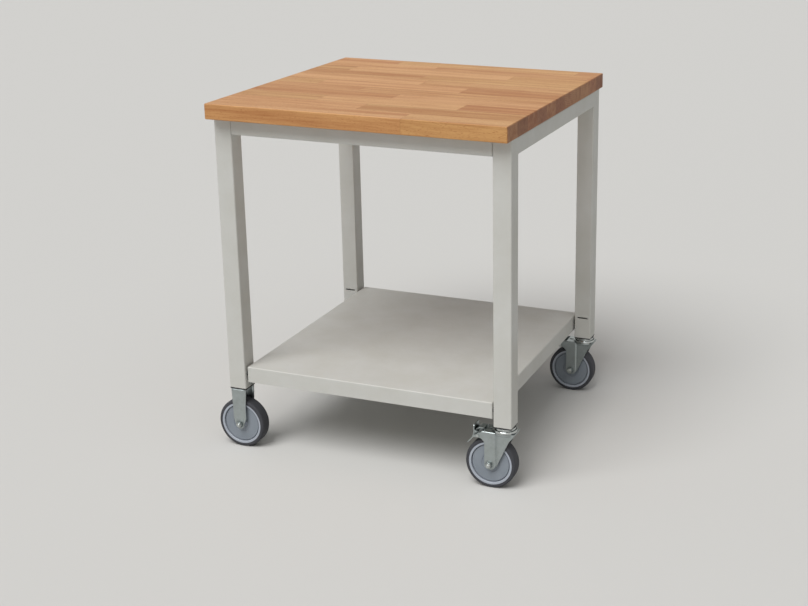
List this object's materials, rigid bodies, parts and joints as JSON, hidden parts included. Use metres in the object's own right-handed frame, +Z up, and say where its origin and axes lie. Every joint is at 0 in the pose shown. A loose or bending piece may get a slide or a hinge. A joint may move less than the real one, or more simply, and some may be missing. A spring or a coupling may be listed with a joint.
{
  "type": "assembly table",
  "caption": "Square rolling assembly table: thick beech worktop on a square-tube steel frame with a low folded shelf, rigid casters on the left and braked swivel casters on the right.",
  "frame": {"origin": "centre of the whole table's footprint, on the floor", "axes": "+Z up, +X to the right seen from the front, +Y to the back"},
  "size_m": [0.792, 0.725, 0.88],
  "materials": {
    "oiled_beech": "oiled",
    "grey_powder_coat": "powder coat",
    "zinc_plated_steel": "zinc plated",
    "black_nylon": "moulded",
    "grey_plastic": "moulded",
    "light_grey_plastic": "moulded",
    "white_nylon": "moulded",
    "grey_rubber": "matt"
  },
  "bodies": {
    "frame": {"worktop": "oiled_beech", "leg_front_left": "grey_powder_coat", "leg_front_right": "grey_powder_coat", "leg_rear_left": "grey_powder_coat", "leg_rear_right": "grey_powder_coat", "side_rail_left": "grey_powder_coat", "side_rail_right": "grey_powder_coat", "front_rail": "grey_powder_coat", "rear_rail": "grey_powder_coat", "rail_stubs": "grey_powder_coat", "rail_screws": "zinc_plated_steel", "worktop_brackets": "grey_powder_coat", "worktop_screws": "zinc_plated_steel", "shelf": "grey_powder_coat", "shelf_bolts": "zinc_plated_steel", "shelf_spacers": "black_nylon", "leg_rivet_nuts": "zinc_plated_steel", "leg_inserts": "black_nylon", "insert_nuts": "zinc_plated_steel", "insert_screws": "zinc_plated_steel", "swivel_caster_bolts": "zinc_plated_steel", "rigid_caster_bolts": "zinc_plated_steel", "swivel_top_races": "zinc_plated_steel", "rigid_fork_front_left": "zinc_plated_steel", "rigid_fork_rear_left": "zinc_plated_steel", "rigid_axle_bolts": "zinc_plated_steel", "rigid_axle_nuts": "zinc_plated_steel", "rigid_axle_sleeves": "zinc_plated_steel"},
    "swivel_front_right": {"swivel_fork_front_right": "zinc_plated_steel", "lower_race_front_right": "zinc_plated_steel", "race_balls_front_right": "zinc_plated_steel", "pedal_pin_front_right": "zinc_plated_steel", "axle_bolt_front_right": "zinc_plated_steel", "axle_nut_front_right": "zinc_plated_steel", "axle_sleeve_front_right": "zinc_plated_steel"},
    "pedal_front_right": {"brake_pedal_front_right": "zinc_plated_steel"},
    "swivel_rear_right": {"swivel_fork_rear_right": "zinc_plated_steel", "lower_race_rear_right": "zinc_plated_steel", "race_balls_rear_right": "zinc_plated_steel", "pedal_pin_rear_right": "zinc_plated_steel", "axle_bolt_rear_right": "zinc_plated_steel", "axle_nut_rear_right": "zinc_plated_steel", "axle_sleeve_rear_right": "zinc_plated_steel"},
    "pedal_rear_right": {"brake_pedal_rear_right": "zinc_plated_steel"},
    "wheel_front_left": {"tyre_front_left": "grey_rubber", "rim_front_left": "light_grey_plastic", "hub_bush_front_left": "white_nylon", "thread_guards_front_left": "grey_plastic"},
    "wheel_front_right": {"tyre_front_right": "grey_rubber", "rim_front_right": "light_grey_plastic", "hub_bush_front_right": "white_nylon", "thread_guards_front_right": "grey_plastic"},
    "wheel_rear_left": {"tyre_rear_left": "grey_rubber", "rim_rear_left": "light_grey_plastic", "hub_bush_rear_left": "white_nylon", "thread_guards_rear_left": "grey_plastic"},
    "wheel_rear_right": {"tyre_rear_right": "grey_rubber", "rim_rear_right": "light_grey_plastic", "hub_bush_rear_right": "white_nylon", "thread_guards_rear_right": "grey_plastic"}
  },
  "joints": [
    {"name": "swivel_front_right_turn", "type": "hinge", "parent": "frame", "child": "swivel_front_right", "pos_m": [0.3665, -0.307, 0.15], "axis": [0, 0, 1], "continuous": true},
    {"name": "pedal_front_right_press", "type": "hinge", "parent": "swivel_front_right", "child": "pedal_front_right", "pos_m": [0.3045, -0.307, 0.1325], "axis": [0, 1, 0], "range_deg": [-14.5, 0]},
    {"name": "swivel_rear_right_turn", "type": "hinge", "parent": "frame", "child": "swivel_rear_right", "pos_m": [0.3665, 0.318, 0.15], "axis": [0, 0, 1], "continuous": true},
    {"name": "pedal_rear_right_press", "type": "hinge", "parent": "swivel_rear_right", "child": "pedal_rear_right", "pos_m": [0.3045, 0.318, 0.1325], "axis": [0, 1, 0], "range_deg": [-14.5, 0]},
    {"name": "wheel_front_left_roll", "type": "hinge", "parent": "frame", "child": "wheel_front_left", "pos_m": [-0.3335, -0.307, 0.0625], "axis": [0, 1, 0], "continuous": true},
    {"name": "wheel_front_right_roll", "type": "hinge", "parent": "swivel_front_right", "child": "wheel_front_right", "pos_m": [0.3335, -0.307, 0.0625], "axis": [0, 1, 0], "continuous": true},
    {"name": "wheel_rear_left_roll", "type": "hinge", "parent": "frame", "child": "wheel_rear_left", "pos_m": [-0.3335, 0.318, 0.0625], "axis": [0, 1, 0], "continuous": true},
    {"name": "wheel_rear_right_roll", "type": "hinge", "parent": "swivel_rear_right", "child": "wheel_rear_right", "pos_m": [0.3335, 0.318, 0.0625], "axis": [0, 1, 0], "continuous": true}
  ]
}
